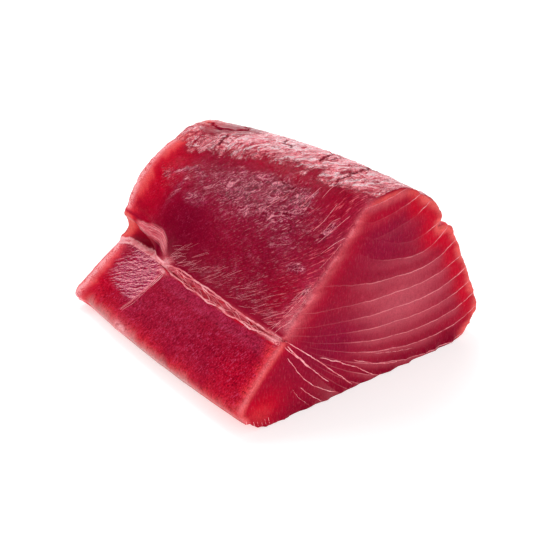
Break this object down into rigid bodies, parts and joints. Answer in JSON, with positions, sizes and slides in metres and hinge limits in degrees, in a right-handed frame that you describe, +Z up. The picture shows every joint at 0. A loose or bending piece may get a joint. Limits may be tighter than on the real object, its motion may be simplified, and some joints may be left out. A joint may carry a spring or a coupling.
{
  "type": "tuna loin",
  "caption": "Boneless piece of raw red tuna loin, cut square at both ends: a rounded, leaning wedge with a blunt ridge, a long slope and a flap below a seam.",
  "frame": {"origin": "centre of the footprint's bounding box, on the flat underside", "axes": "+X along the loin, out of the front cut; +Y across it from the thin flap to the thick heel; +Z up"},
  "size_m": [0.127, 0.1264, 0.0802],
  "materials": {
    "flesh": "moist, slightly translucent raw muscle",
    "connective_tissue": "moist pale membrane and threads between the muscle layers"
  },
  "bodies": {
    "root": {"loin": "flesh"}
  },
  "joints": []
}
